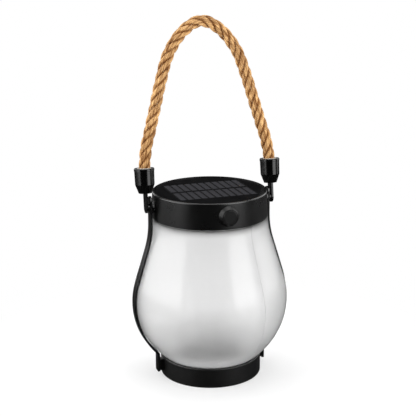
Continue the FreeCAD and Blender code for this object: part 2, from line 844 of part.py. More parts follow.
def rope_route():
    x, start = number("hanger_x"), number("rope_start")
    side = [(x, start), (x, ROPE_FIRST_RISE), *ROPE_SIDE]
    route = side + [(-across, up) for across, up in reversed(side)]
    return [FreeCAD.Vector(across, 0, up) for across, up in route]


def make_rope_handle():
    feature = document.addObject("Part::Feature", "rope_handle")
    feature.Label = "rope_handle"
    solid, length, radii = tube(rope_route(), number("rope_diameter / 2"))
    feature.Shape = solid
    feature.Placement = handle_placement()
    PARTS["rope_handle"] = feature
    print("rope length", round(length, 1), "radii", [round(radius, 1) for radius in radii])


# Light tray: disc inside the neck, with a pod for the lamp below and ribs for the boards above

def make_light_tray():
    body = new_body("light_tray")
    revolve(outline(body, "section", "XZ_Plane", [
        ("lead_hole_radius", "tray_low"),
        ("pod_bore", "tray_low"),
        ("pod_bore", "shelf_low + shelf_thickness"),
        ("shelf_radius", "shelf_low + shelf_thickness"),
        ("shelf_radius", "shelf_low"),
        ("pod_bore", "shelf_low"),
        ("pod_bore", "tray_low - pod_depth"),
        ("pod_radius", "tray_low - pod_depth"),
        ("pod_radius", "tray_low"),
        ("tray_radius", "tray_low"),
        ("tray_radius", "tray_top"),
        ("lead_hole_radius", "tray_top"),
    ]))
    pocket(circles(body, "screw_holes", "XY_Plane", POSTS, "screw_shank_radius + slip_gap",
                   "tray_top"), "tray_thickness")
    for side in (-1, 1):
        rail = f"{side} * (control_length / 2 - rail_width)"
        pad(rectangle(body, f"rail_{side + 1}", "XY_Plane",
                      (f"{rail} - rail_width / 2", "-control_back - control_width"),
                      (f"{rail} + rail_width / 2", "-control_back"), "tray_top"),
            "rail_height")
        saddle = f"{side} * saddle_spread"
        pad(rectangle(body, f"saddle_{side + 1}", "XY_Plane",
                      (f"{saddle} - saddle_width / 2", "battery_back - battery_radius"),
                      (f"{saddle} + saddle_width / 2", "battery_back + battery_radius"),
                      "tray_top"), "saddle_height")
    pocket(circles(body, "cradle", "YZ_Plane", [("battery_back", "battery_height")],
                   "battery_radius + running_gap"), "battery_length", both=True)


def make_tray_screws():
    body = new_body("tray_screws")
    pad(circles(body, "heads", "XY_Plane", POSTS, "screw_head_radius",
                "tray_low - screw_head_height"), "screw_head_height")
    pad(circles(body, "shanks", "XY_Plane", POSTS, "screw_shank_radius", "tray_low"),
        "screw_shank_length")


# Lamp: round board under the pod's shelf, light-emitting chips and a domed lens

def make_lamp():
    board = new_body("led_board")
    pad(circles(board, "disc", "XY_Plane", [("0", "0")], "lens_rim", "led_board_low"),
        "board_thickness")
    chips = new_body("leds")
    for turn in range(0, 360, 60):
        middle = (f"led_circle * cos({turn})", f"led_circle * sin({turn})")
        pad(rectangle(chips, f"chip_{turn}", "XY_Plane",
                      (f"{middle[0]} - led_side / 2", f"{middle[1]} - led_side / 2"),
                      (f"{middle[0]} + led_side / 2", f"{middle[1]} + led_side / 2"),
                      "led_board_low - led_thickness"), "led_thickness")
    lens = new_body("led_lens")
    inner = "(lens_rim - 2 * lens_wall)"
    outer = "(lens_rim - lens_wall)"
    sphere = f"(({outer} ^ 2 + lens_drop ^ 2) / (2 * lens_drop))"
    hollow = f"(({inner} ^ 2 + (lens_drop - lens_wall) ^ 2) / (2 * (lens_drop - lens_wall)))"
    revolve(outline(lens, "section", "XZ_Plane", [
        ("lens_rim", "lens_low"),
        ("lens_rim", "led_board_low"),
        (inner, "led_board_low"),
        (inner, "lens_low", hollow, -1),
        ("0", "lens_low - lens_drop + lens_wall"),
        ("0", "lens_low - lens_drop", sphere, 1),
        (outer, "lens_low"),
    ]))


# Boards, battery and its contacts on the tray

def make_electronics():
    board = new_body("control_board")
    pad(rectangle(board, "board", "XY_Plane",
                  ("-control_length / 2", "-control_back - control_width"),
                  ("control_length / 2", "-control_back"), "control_low"), "board_thickness")
    battery = new_body("battery")
    end = "battery_length / 2"
    revolve(outline(battery, "section", "XY_Plane", [
        (f"-{end}", "0"),
        (f"-{end}", "battery_radius - battery_edge"),
        (f"-{end} + battery_edge", "battery_radius"),
        (f"{end} - battery_tip - battery_edge", "battery_radius"),
        (f"{end} - battery_tip", "battery_radius - battery_edge"),
        (f"{end} - battery_tip", "battery_tip_radius"),
        (end, "battery_tip_radius"),
        (end, "0"),
    ]), "H_Axis")
    battery.Placement.Base = FreeCAD.Vector(0, number("battery_back"), number("battery_height"))
    contacts = new_body("battery_contacts")
    plate = pad(outline(contacts, "plate", "XZ_Plane", [
        (end, "tray_top"),
        (f"{end} + contact_foot", "tray_top"),
        (f"{end} + contact_foot", "tray_top + contact_thickness"),
        (f"{end} + contact_thickness", "tray_top + contact_thickness"),
        (f"{end} + contact_thickness", "battery_height + battery_radius / 2"),
        (end, "battery_height + battery_radius / 2"),
    ], "-battery_back - contact_width / 2"), "contact_width")
    mirror(contacts, [plate], "YZ_Plane")


# Wires between the boards, one pair of each

def make_leads():
    top = number("control_top")
    front = -number("control_back")
    foot = number("battery_length / 2 + contact_foot / 2")
    foot_top = number("tray_top + contact_thickness")
    back = number("battery_back")
    panel = number("deck_top")
    lamp = number("shelf_low")
    rear = -number("switch_back - board_thickness")
    middle = number("pivot_height")
    edge = front - number("control_width")
    routes = {
        "panel_leads": [(2, front - 2, top), (2, front - 2, top + 5), (3.4, front, top + 9),
                        (3.4, front, panel)],
        "led_leads": [(6, front - 3, top), (6, front - 3, top + 3), (5, front + 2, top + 3),
                      (3, front + 4, top - 3), (3, front + 4, lamp)],
        "battery_leads": [(foot, back - 3, foot_top), (foot, back - 3, foot_top + 5),
                          (foot - 1, back - 14, foot_top + 7), (11, front - 6, top + 4),
                          (11, front - 6, top)],
        "switch_leads": [(4, rear, middle), (4, rear + 4, middle), (8, edge + 1, middle),
                         (9, edge + 3, top + 2), (9, edge + 3, top)],
    }
    for label, route in routes.items():
        pair = []
        for side in (-1, 1):
            points = [FreeCAD.Vector(side * across, along, up) for across, along, up in route]
            pair.append(tube(points, number("lead_radius"))[0])
        feature = document.addObject("Part::Feature", label)
        feature.Label = label
        feature.Shape = Part.makeCompound(pair)
        PARTS[label] = feature


make_base_cup()
make_jar()
make_neck_seal()
make_cap_housing()
make_solar_panel()
make_solar_cells()
make_button_bezel()
make_push_button()
make_switch()
make_strap("right_strap", 0)
make_strap("left_strap", 180)
make_rope_end("right_rope_end", 0)
make_rope_end("left_rope_end", 180)
make_glue("right_glue", 0)
make_glue("left_glue", 180)
make_pivot_fixings()
make_rope_handle()
make_light_tray()
make_tray_screws()
make_lamp()
make_electronics()
make_leads()
document.recompute()

# Every object has to be sound before anything is written

for item in document.Objects:
    if "Invalid" in item.State or "Error" in item.State:
        raise RuntimeError(f"{item.Name} did not build: {item.State}")
for label, item in PARTS.items():
    if item.Shape.isNull() or not item.Shape.isValid() or not item.Shape.Solids:
        raise RuntimeError(f"{label} has no sound solid")

os.makedirs("parts", exist_ok=True)
for label, item in PARTS.items():
    item.Shape.exportStep(f"parts/{label}.step")
    box = item.Shape.BoundBox
    print(f"{label}: {len(item.Shape.Solids)} solids, {item.Shape.Volume:.0f} mm3,",
          f"x {box.XMin:.1f} {box.XMax:.1f} y {box.YMin:.1f} {box.YMax:.1f}",
          f"z {box.ZMin:.1f} {box.ZMax:.1f}")
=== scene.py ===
# %% [markdown]
# # A solar jar lantern with a rope handle
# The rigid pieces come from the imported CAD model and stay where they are. This lesson gives them
# their finishes, and models what CAD leaves plain: the laid rope, its loose fibres, the beads of
# glue in the rope ends and the fine mould line on the jar.

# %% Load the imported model
import json
import math
import random

import bpy
from mathutils import Matrix, Vector


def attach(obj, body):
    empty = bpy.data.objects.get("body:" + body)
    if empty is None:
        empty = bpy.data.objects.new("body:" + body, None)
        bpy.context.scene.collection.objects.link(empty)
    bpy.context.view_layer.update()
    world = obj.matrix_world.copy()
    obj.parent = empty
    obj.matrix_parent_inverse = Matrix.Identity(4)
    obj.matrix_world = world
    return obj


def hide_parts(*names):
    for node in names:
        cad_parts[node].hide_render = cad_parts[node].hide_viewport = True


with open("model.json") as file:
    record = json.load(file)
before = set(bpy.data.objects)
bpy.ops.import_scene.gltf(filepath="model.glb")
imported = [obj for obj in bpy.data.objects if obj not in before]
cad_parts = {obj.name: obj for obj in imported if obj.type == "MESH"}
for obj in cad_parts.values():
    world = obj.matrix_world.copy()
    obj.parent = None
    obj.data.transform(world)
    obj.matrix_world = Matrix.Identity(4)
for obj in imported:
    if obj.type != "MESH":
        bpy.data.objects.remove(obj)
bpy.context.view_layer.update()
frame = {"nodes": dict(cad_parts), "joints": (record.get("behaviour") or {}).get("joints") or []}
scene = bpy.context.scene
scene.view_settings.view_transform = "Standard"
MM = 0.001

# %% [markdown]
# ## Selecting in code
# Blender's operators act on all that is selected, and the loaded pieces come selected. By hand one
# would click on an empty place first. Two helpers do the same here, so that no operator meets a
# CAD piece by accident.

# %% Helpers for selecting


def deselect_all():
    """Leave nothing selected, so that an operator meets only what is chosen next."""
    if bpy.context.mode != "OBJECT":
        bpy.ops.object.mode_set(mode="OBJECT")
    bpy.ops.object.select_all(action="DESELECT")


def make_active(piece):
    """Select one object alone and make it the active one."""
    deselect_all()
    piece.select_set(True)
    bpy.context.view_layer.objects.active = piece


deselect_all()
print("selected", len(bpy.context.selected_objects), "of", len(frame["nodes"]), "CAD pieces")

# %% [markdown]
# ## Camera
# The photograph looks down a little and from the lantern's left front. A long lens keeps the
# cap's ellipse flat. One could drag the camera into place by eye. Here it is placed by its angles
# and its distance from a point on the jar's axis, because each of these numbers changes one thing
# in the picture. It is then rolled by the third of a degree that the photograph is off level.

# %% Place the camera
LENS_MM = 95.0
SENSOR_MM = 36.0
CAMERA_AZIMUTH = -18.5
CAMERA_ELEVATION = 15.146
CAMERA_DISTANCE = 918.1 * MM
CAMERA_TARGET = Vector((0, 0, 143.9 * MM))
CAMERA_ROLL = math.radians(-0.335)
CAMERA_SHIFT = -0.004


def direction(azimuth, elevation):
    """Way out from the jar's axis, by angles in degrees; azimuth 0 is the lantern's front."""
    turn = math.radians(azimuth)
    rise = math.radians(elevation)
    flat = math.cos(rise)
    return Vector((math.sin(turn) * flat, -math.cos(turn) * flat, math.sin(rise)))


def place_camera(name):
    """Camera that looks at the target from its angles and distance, with a slight roll."""
    back = direction(CAMERA_AZIMUTH, CAMERA_ELEVATION)
    bpy.ops.object.camera_add(location=CAMERA_TARGET + back * CAMERA_DISTANCE)
    camera = bpy.context.object
    camera.name = name
    aim = (-back).to_track_quat("-Z", "Y").to_matrix()
    camera.rotation_euler = (aim @ Matrix.Rotation(CAMERA_ROLL, 3, "Z")).to_euler()
    camera.data.lens = LENS_MM
    camera.data.sensor_width = SENSOR_MM
    camera.data.shift_x = CAMERA_SHIFT
    return camera


scene.camera = place_camera("photo_camera")
print("camera", [round(value, 4) for value in scene.camera.location])

# %% [markdown]
# ## Rope route
# The handle swings about the pivots, so its route is given in the handle's own plane: the
# distance from the middle and the height above the pivots. The plane leans back a little. A NURBS
# curve takes these points as its control points and makes one smooth line, where a Bezier curve
# would need two handles at every point. A mesh made from the curve gives the points along it.

# %% Make the route's curve and read its line
PIVOT = Vector(next(joint for joint in frame["joints"] if joint["type"] == "hinge")["pos_m"])
HANDLE_LEAN = math.radians(7.0)
HANDLE_UP = Vector((0, math.sin(HANDLE_LEAN), math.cos(HANDLE_LEAN)))
HANDLE_ACROSS = Vector((1, 0, 0))
HANDLE_NORMAL = HANDLE_ACROSS.cross(HANDLE_UP)
ROPE_SIDE_MM = [
    (54.92, 20.0),
    (54.92, 41.0),
    (46.7, 67.5),
    (38.0, 100.0),
    (28.3, 129.3),
    (8.7, 149.1),
]
ROUTE_RESOLUTION = 60


def on_handle(across_mm, up_mm):
    """Point of the handle's plane, in the lantern's frame."""
    return PIVOT + (HANDLE_ACROSS * across_mm + HANDLE_UP * up_mm) * MM


def route_line(name, points):
    """Points along a smooth curve whose control points are given."""
    curve = bpy.data.curves.new(name, "CURVE")
    curve.dimensions = "3D"
    curve.resolution_u = ROUTE_RESOLUTION
    spline = curve.splines.new("NURBS")
    spline.points.add(len(points) - 1)
    for control, place in zip(spline.points, points):
        control.co = (*place, 1.0)
    spline.order_u = 3
    spline.use_endpoint_u = True
    holder = bpy.data.objects.new(name, curve)
    scene.collection.objects.link(holder)
    bpy.context.view_layer.update()
    mesh = bpy.data.meshes.new_from_object(holder)
    line = [vertex.co.copy() for vertex in mesh.vertices]
    bpy.data.meshes.remove(mesh)
    bpy.data.objects.remove(holder)
    return line


rope_points = [on_handle(across, up) for across, up in ROPE_SIDE_MM]
rope_points += [on_handle(-across, up) for across, up in reversed(ROPE_SIDE_MM)]
rope_line = route_line("rope_route", rope_points)

# %% [markdown]
# ## Even steps along the rope
# The points of the curve lie closer in one place than in another. The rope's rings and its fibres
# need even steps, so the line is walked from end to end and a place is kept at each step, with its
# distance from the start.

# %% Walk the line in even steps
ROPE_RINGS = 940


def even_line(line, count):
    """The same line with points at even steps, each with its distance along."""
    steps = [(b - a).length for a, b in zip(line, line[1:])]
    total = sum(steps)
    places = []
    index = 0
    passed = 0.0
    for number in range(count):
        wanted = total * number / (count - 1)
        while index < len(steps) - 1 and passed + steps[index] < wanted:
            passed += steps[index]
            index += 1
        share = min(1.0, (wanted - passed) / steps[index])
        places.append((line[index].lerp(line[index + 1], share), wanted))
    return places


rope_places = even_line(rope_line, ROPE_RINGS)
print("rope rings", round(rope_places[1][1] / MM, 3), "mm apart")

# %% [markdown]
# ## Section of the rope
# Four strands of jute are laid together. Cut across, the rope is a clover with four round lobes,
# and the strands meet in the seams between them. One lobe is drawn as an arc and used four times.
# Each strand also swells and thins a little along its way, because spun jute is uneven.

# %% Draw one lobe of the section
STRANDS = 4
ROPE_DIAMETER = 9.5 * MM
STRAND_RADIUS = 2.22 * MM
STRAND_OFFSET = ROPE_DIAMETER / 2 - STRAND_RADIUS
LOBE_STEPS = 24
WANDER_HEIGHT = 0.06 * MM
WANDERS = ((23.0 * MM, 2.1), (9.7 * MM, 4.3))


def lobe_point(step):
    """Distance from the rope's axis, angle in the lobe and place round the strand."""
    half = math.pi / STRANDS
    edge = STRAND_OFFSET * math.sin(half)
    far = STRAND_OFFSET * math.cos(half) + math.sqrt(STRAND_RADIUS ** 2 - edge ** 2)
    reach = math.atan2(far * math.sin(half), far * math.cos(half) - STRAND_OFFSET)
    turn = reach * (2 * step / LOBE_STEPS - 1)
    across = STRAND_OFFSET + STRAND_RADIUS * math.cos(turn)
    along = STRAND_RADIUS * math.sin(turn)
    return math.hypot(across, along), math.atan2(along, across), turn * STRAND_RADIUS


def strand_wander(strand, distance):
    """Small slow change of a strand's thickness, as two waves that no other strand has."""
    waves = [math.sin(distance / length + shift * strand) for length, shift in WANDERS]
    return sum(waves) * WANDER_HEIGHT


lobe = [lobe_point(step) for step in range(LOBE_STEPS)]
reaches = [round(reach / MM, 2) for reach, angle, arc in lobe]
print("a lobe reaches", max(reaches), "mm from the axis, and its seams", min(reaches), "mm")

# %% [markdown]
# ## Rings of the rope
# The strands are laid to the right, so the seams climb like the middle stroke of a Z, one turn
# every 36 mm. The yarns in each strand are twisted the other way, which brings them nearly in line
# with the rope, and they show as low ridges. The rope is thinner near the ferrules that pinch it.
# Each point of a ring also gets its place on the strand in millimetres.

# %% Turn the section along the route
ROPE_LAY = 36.0 * MM
ROPE_SLANT = math.pi * ROPE_DIAMETER / ROPE_LAY
ROPE_HELD = 12.0 * MM
ROPE_SWELL = 0.045
YARN_SPACING = 1.25 * MM
YARN_HEIGHT = 0.16 * MM
YARN_LEVEL = 0.6
YARN_SHIFT = 0.37
STRAND_SPACING_MM = 10.0


def directions_at(places, index):
    """Direction of the rope at one place, and the direction across it in the handle's plane."""
    before = places[max(index - 1, 0)][0]
    after = places[min(index + 1, len(places) - 1)][0]
    tangent = (after - before).normalized()
    return tangent, HANDLE_NORMAL.cross(tangent)


def rope_ring(places, index):
    """Points of one ring of the rope, each with its place on the strands in millimetres."""
    centre, distance = places[index]
    side = directions_at(places, index)[1]
    from_end = min(distance, places[-1][1] - distance)
    swell = 1.0 + ROPE_SWELL * min(1.0, max(0.0, (from_end - ROPE_HELD) / ROPE_HELD))
    ring = []
    for strand in range(STRANDS):
        strand_turn = 2 * math.pi * (distance / ROPE_LAY + strand / STRANDS)
        wander = strand_wander(strand, distance)
        for reach, angle, arc in lobe:
            yarn = (arc + ROPE_SLANT * distance) / YARN_SPACING + YARN_SHIFT * strand
            ridge = YARN_HEIGHT * (abs(math.sin(math.pi * yarn)) - YARN_LEVEL)
            turn = angle + strand_turn
            out = HANDLE_NORMAL * math.cos(turn) - side * math.sin(turn)
            point = centre + out * (reach + ridge + wander) * swell
            ring.append((point, (arc / MM + STRAND_SPACING_MM * strand, distance / MM)))
    return ring


rope_rings = [rope_ring(rope_places, index) for index in range(ROPE_RINGS)]
print("rope rings", len(rope_rings), "of", len(rope_rings[0]), "points")

# %% [markdown]
# ## Skin of the rope
# The rope is one closed skin: faces between neighbouring rings and a lid at either end. It could
# be four swept tubes, but they would cut through each other, and the seams would need care. A UV
# map in millimetres lets the finish follow the yarns.

# %% Join the rings into the laid rope


def ring_faces(rings, around):
    """Four-sided faces between neighbouring rings, and a lid at either end."""
    faces = []
    for ring in range(rings - 1):
        low = ring * around
        high = low + around
        for step in range(around):
            following = (step + 1) % around
            faces.append((low + step, low + following, high + following, high + step))
    last = (rings - 1) * around
    faces.append(tuple(range(around - 1, -1, -1)))
    faces.append(tuple(range(last, last + around)))
    return faces


def laid_rope(name, rings):
    """One closed skin over the rings, with a UV map in millimetres."""
    points = [point for ring in rings for point in ring]
    mesh = bpy.data.meshes.new(name)
    faces = ring_faces(len(rings), len(rings[0]))
    mesh.from_pydata([place for place, texture in points], [], faces)
    layer = mesh.uv_layers.new(name="yarn_mm")
    for loop in mesh.loops:
        layer.data[loop.index].uv = points[loop.vertex_index][1]
    piece = bpy.data.objects.new(name, mesh)
    scene.collection.objects.link(piece)
    make_active(piece)
    bpy.ops.object.mode_set(mode="EDIT")
    bpy.ops.mesh.select_all(action="SELECT")
    bpy.ops.mesh.normals_make_consistent(inside=False)
    bpy.ops.object.mode_set(mode="OBJECT")
    bpy.ops.object.shade_smooth()
    return piece


rope = laid_rope("laid_rope", rope_rings)
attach(rope, "handle")
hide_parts("rope_handle")
print("rope faces", len(rope.data.polygons))

# %% [markdown]
# ## One loose fibre
# Jute sheds fine ends that stand off the rope. One fibre is a three-sided hair: a small triangle
# is drawn out three times, thinner and more slanted each time. A curve with a round bevel would
# bend more smoothly, but hundreds of copies have to stay light.

# %% Model one fibre
FIBRE_LENGTH = 5.0 * MM
FIBRE_RADIUS = 0.075 * MM
FIBRE_BENDS = (0.05, 0.25, 0.55)
FIBRE_TAPER = 0.75


def one_fibre():
    """Three-sided hair that stands on the origin and bends towards +X."""
    deselect_all()
    bpy.ops.mesh.primitive_circle_add(vertices=3, radius=FIBRE_RADIUS, fill_type="NGON")
    fibre = bpy.context.object
    rise = FIBRE_LENGTH / len(FIBRE_BENDS)
    bpy.ops.object.mode_set(mode="EDIT")
    bpy.ops.mesh.select_all(action="SELECT")
    for bend in FIBRE_BENDS:
        step = (bend * rise, 0, rise)
        bpy.ops.mesh.extrude_region_move(TRANSFORM_OT_translate={"value": step})
        bpy.ops.transform.resize(value=(FIBRE_TAPER, FIBRE_TAPER, FIBRE_TAPER))
    bpy.ops.mesh.select_all(action="SELECT")
    bpy.ops.mesh.normals_make_consistent(inside=False)
    bpy.ops.object.mode_set(mode="OBJECT")
    return fibre


fibre_model = one_fibre()
print("one fibre has", len(fibre_model.data.polygons), "faces")

# %% [markdown]
# ## Loose fibres
# The fibre is copied all over the rope, clear of the ferrules. Each copy is turned and sized by
# chance, from a fixed seed so that every run gives the same rope, and the copies become one piece.
# A particle system could scatter them too, but it would have to be made a mesh afterwards.

# %% Scatter the fibres
FIBRES = 640
FIBRE_PLACES = 400
FIBRE_FIRST = 56
FIBRE_LAST = 344
FIBRE_LIFT = (0.06, 0.5)
FIBRE_SIZE = (0.5, 1.15)
FIBRE_ROOT = 0.5 * MM
chance = random.Random(7)


def chance_place(places):
    """Place, turn and size of one fibre, drawn by chance, as a matrix."""
    index = chance.randrange(FIBRE_FIRST, FIBRE_LAST)
    tangent, side = directions_at(places, index)
    turn = chance.uniform(0, 2 * math.pi)
    out = HANDLE_NORMAL * math.cos(turn) + side * math.sin(turn)
    way = 1 if chance.random() < 0.5 else -1
    aim = (tangent * way + out * chance.uniform(*FIBRE_LIFT)).normalized()
    across = out.cross(aim).normalized()
    root = places[index][0] + out * (ROPE_DIAMETER / 2 - FIBRE_ROOT)
    turned = Matrix((across.cross(aim), across, aim)).transposed().to_4x4()
    size = chance.uniform(*FIBRE_SIZE)
    return Matrix.Translation(root) @ turned @ Matrix.Scale(size, 4)


def scatter_fibres(name, model, places):
    """Many copies of the model, joined into one piece; the model itself goes."""
    copies = []
    while len(copies) < FIBRES:
        copy = model.copy()
        copy.data = model.data.copy()
        copy.data.transform(chance_place(places))
        scene.collection.objects.link(copy)
        copies.append(copy)
    bpy.data.objects.remove(model)
    make_active(copies[0])
    for copy in copies:
        copy.select_set(True)
    bpy.ops.object.join()
    piece = bpy.context.object
    piece.name = name
    return piece


fibres = scatter_fibres("rope_fibres", fibre_model, even_line(rope_line, FIBRE_PLACES))
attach(fibres, "handle")
print("fibre faces", len(fibres.data.polygons))

# %% [markdown]
# ## Glue in the rope ends
# Hot-melt glue holds the rope in each black ferrule and shows as a pale uneven bead round the
# rope. A torus is the bead, and its points are shaken and smoothed so that it looks squeezed out.
# By hand one might sculpt it. Shaking by a seed gives the same bead on every run.

# %% Model the glue beads
BEAD_HEIGHT_MM = 32.2
BEAD_RING = 5.2 * MM
BEAD_THICKNESS = 0.6 * MM
BEAD_SHAKE = 0.45 * MM
HANGER_MM = ROPE_SIDE_MM[0][0]


def glue_bead(name, across_mm, seed):
    """Ring of glue round the rope, in the mouth of the ferrule at this distance from the middle."""
    deselect_all()
    bpy.ops.mesh.primitive_torus_add(
        location=on_handle(across_mm, BEAD_HEIGHT_MM), rotation=(-HANDLE_LEAN, 0, 0),
        major_radius=BEAD_RING, minor_radius=BEAD_THICKNESS, major_segments=40, minor_segments=10)
    bead = bpy.context.object
    bead.name = name
    bpy.ops.object.transform_apply(location=True, rotation=True, scale=True)
    bpy.ops.object.mode_set(mode="EDIT")
    bpy.ops.mesh.select_all(action="SELECT")
    bpy.ops.transform.vertex_random(offset=BEAD_SHAKE, uniform=0.2, normal=0.3, seed=seed)
    bpy.ops.mesh.vertices_smooth(factor=0.5, repeat=1)
    bpy.ops.object.mode_set(mode="OBJECT")
    bpy.ops.object.shade_smooth()
    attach(bead, "handle")
    return bead


left_bead = glue_bead("left_glue_bead", -HANGER_MM, seed=3)
right_bead = glue_bead("right_glue_bead", HANGER_MM, seed=8)
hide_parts("left_glue")
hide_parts("right_glue")
print("glue bead faces", len(left_bead.data.polygons), len(right_bead.data.polygons))

# %% [markdown]
# ## Mould line
# The jar is blown in a two-part mould, which leaves a fine raised line down either side. A bump in
# the finish could hint at it, but then the mesh would lack it. Two cuts through a copy of the jar
# leave a thin slice of it, the slice keeps only its outer skin, and a Solidify modifier raises the
# skin. So the line follows the jar exactly.

# %% Cut the mould line from a copy of the jar
MOULD_TURN = math.radians(25.0)
MOULD_WIDTH = 0.5 * MM
MOULD_HEIGHT = 0.14 * MM
MOULD_FOOT = 13.5 * MM
MOULD_TOP = 137.5 * MM
OUTWARD = 0.15
MERGE_WITHIN = 0.001 * MM


def mould_line(name):
    """Two thin raised lines down the outside of the jar, opposite each other."""
    jar = frame["nodes"]["jar"]
    piece = jar.copy()
    piece.data = jar.data.copy()
    piece.name = name
    scene.collection.objects.link(piece)
    make_active(piece)
    across = Vector((math.cos(MOULD_TURN), math.sin(MOULD_TURN), 0))
    bpy.ops.object.mode_set(mode="EDIT")
    bpy.ops.mesh.select_all(action="SELECT")
    bpy.ops.mesh.remove_doubles(threshold=MERGE_WITHIN)
    for way in (-1, 1):
        bpy.ops.mesh.select_all(action="SELECT")
        bpy.ops.mesh.bisect(plane_co=across * way * MOULD_WIDTH / 2, plane_no=across * way,
                            clear_outer=True)
    bpy.ops.object.mode_set(mode="OBJECT")
    for face in piece.data.polygons:
        radial = Vector((face.center.x, face.center.y, 0)).normalized()
        outside = face.normal.dot(radial) > OUTWARD
        face.select = not (outside and MOULD_FOOT < face.center.z < MOULD_TOP)
    bpy.ops.object.mode_set(mode="EDIT")
    bpy.ops.mesh.delete(type="FACE")
    bpy.ops.object.mode_set(mode="OBJECT")
    raised = piece.modifiers.new("raised", "SOLIDIFY")
    raised.thickness = MOULD_HEIGHT
    raised.offset = 1.0
    bpy.ops.object.modifier_apply(modifier=raised.name)
    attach(piece, "lantern")
    return piece


jar_line = mould_line("jar_mould_line")
print("mould line faces", len(jar_line.data.polygons))

# %% [markdown]
# ## Rope as a cord
# The rope is the lantern's only free cord. It leaves one ferrule and goes back into the other, and
# it is stiff enough to stand up by itself.

# %% [markdown]
# ## White surroundings
# The photograph is a packshot: white floor and white background. A world that is white for every
# ray would turn the glossy black pieces grey. So it is white for the camera and through the frosted
# jar, a softer grey where it lights the lantern, and nearly black in reflections. The Light Path
# node tells these rays apart.

# %% Make the world
WORLD_LEVEL = 0.28
RAY_LEVELS = {"Is Glossy Ray": 0.012, "Is Transmission Ray": 0.94, "Is Camera Ray": 1.0}
WHITE = (1, 1, 1, 1)


def studio_world(name):
    """White world whose strength depends on the kind of ray; a later kind wins."""
    world = bpy.data.worlds.new(name)
    world.use_nodes = True
    nodes = world.node_tree.nodes
    links = world.node_tree.links
    nodes.clear()
    background = nodes.new("ShaderNodeBackground")
    background.inputs["Color"].default_value = WHITE
    path = nodes.new("ShaderNodeLightPath")
    level = None
    for ray, strength in RAY_LEVELS.items():
        mix = nodes.new("ShaderNodeMix")
        mix.inputs["A"].default_value = WORLD_LEVEL
        mix.inputs["B"].default_value = strength
        if level:
            links.new(level, mix.inputs["A"])
        links.new(path.outputs[ray], mix.inputs["Factor"])
        level = mix.outputs["Result"]
    links.new(level, background.inputs["Strength"])
    output = nodes.new("ShaderNodeOutputWorld")
    links.new(background.outputs[0], output.inputs["Surface"])
    return world


scene.world = studio_world("studio_white")
print("world", len(scene.world.node_tree.nodes), "nodes")

# %% [markdown]
# ## Softboxes
# Two tall softboxes draw a bright band down each side of the jar and the black rope ends. Weaker
# lamps at the sides and behind pick out the cap, the straps and the jar's edges, and one above
# lights the top. Area lamps are used, because a panel of light has edges that a glossy surface
# can show.

# %% Place the lamps
LAMP_TARGET = Vector((0, 0, 100 * MM))
# degrees from the camera, degrees up, metres away, metres wide, metres high, watts
LAMPS = {
    "softbox_left": (-68, 25, 1.2, 1.05, 1.4, 10),
    "softbox_right": (54, 25, 1.2, 0.85, 1.4, 10),
    "side_left": (-108, 20, 1.2, 0.8, 1.2, 5.5),
    "side_right": (112, 20, 1.2, 0.9, 1.2, 4.5),
    "rim_left": (-146, 18, 1.2, 0.5, 1.2, 2.5),
    "rim_right": (142, 18, 1.2, 0.4, 1.2, 2),
    "softbox_top": (180, 75, 1.4, 1.2, 1.2, 10),
}


def softbox(name, azimuth, elevation, distance, width, height, watts):
    """Rectangular lamp that faces the middle of the jar; azimuth is counted from the camera."""
    away = direction(CAMERA_AZIMUTH + azimuth, elevation)
    bpy.ops.object.light_add(type="AREA", location=LAMP_TARGET + away * distance)
    lamp = bpy.context.object
    lamp.name = name
    lamp.rotation_euler = (-away).to_track_quat("-Z", "Y").to_euler()
    lamp.data.shape = "RECTANGLE"
    lamp.data.size = width
    lamp.data.size_y = height
    lamp.data.energy = watts
    return lamp


lamps = [softbox(name, *numbers) for name, numbers in LAMPS.items()]
print("lamps", len(lamps), "with", sum(lamp.data.energy for lamp in lamps), "W in all")

# %% [markdown]
# ## Working with nodes
# A finish is a tree of nodes: patterns, sums and mixes that end in a shader. By hand one drags
# links between boxes. In code the same few steps come back in every finish, so each is a short
# function that takes the tree, adds a node and returns its output.

# %% Helpers for nodes


def feed(tree, socket, value):
    """Link a socket to the output of another node, or set it to a plain value."""
    if isinstance(value, bpy.types.NodeSocket):
        tree.links.new(value, socket)
    else:
        socket.default_value = value


def calculate(tree, operation, *values):
    """Result of a Math node."""
    node = tree.nodes.new("ShaderNodeMath")
    node.operation = operation
    for socket, value in zip(node.inputs, values):
        feed(tree, socket, value)
    return node.outputs[0]


def fade(tree, value, start, end, low=0.0):
    """Smooth step from low, where the value is at start, to 1 at end."""
    step = tree.nodes.new("ShaderNodeMapRange")
    step.interpolation_type = "SMOOTHSTEP"
    step.inputs["From Min"].default_value = start
    step.inputs["From Max"].default_value = end
    step.inputs["To Min"].default_value = low
    tree.links.new(value, step.inputs["Value"])
    return step.outputs["Result"]


def blend_colours(tree, share, first, second, way="MIX"):
    """Mix of two colours, each a plain colour or the output of another node."""
    mix = tree.nodes.new("ShaderNodeMix")
    mix.data_type = "RGBA"
    mix.blend_type = way
    tree.links.new(share, mix.inputs["Factor"])
    for name, colour in (("A", first), ("B", second)):
        feed(tree, mix.inputs[name], (*colour, 1) if isinstance(colour, tuple) else colour)
    return mix.outputs["Result"]


print("node helpers: feed, calculate, fade, blend_colours")

# %% [markdown]
# ## Places on the object
# Object coordinates are metres in the lantern's own frame, so a pattern that reads them stays put
# from every side. Two more helpers take one coordinate of a place, and its distance from the jar's
# upright axis.

# %% Helpers for places


def object_place(tree):
    """Place of each point in the lantern's frame."""
    return tree.nodes.new("ShaderNodeTexCoord").outputs["Object"]


def coordinate(tree, place, axis):
    """One number of a place: its X, Y or Z."""
    parts = tree.nodes.new("ShaderNodeSeparateXYZ")
    tree.links.new(place, parts.inputs[0])
    return parts.outputs[axis]


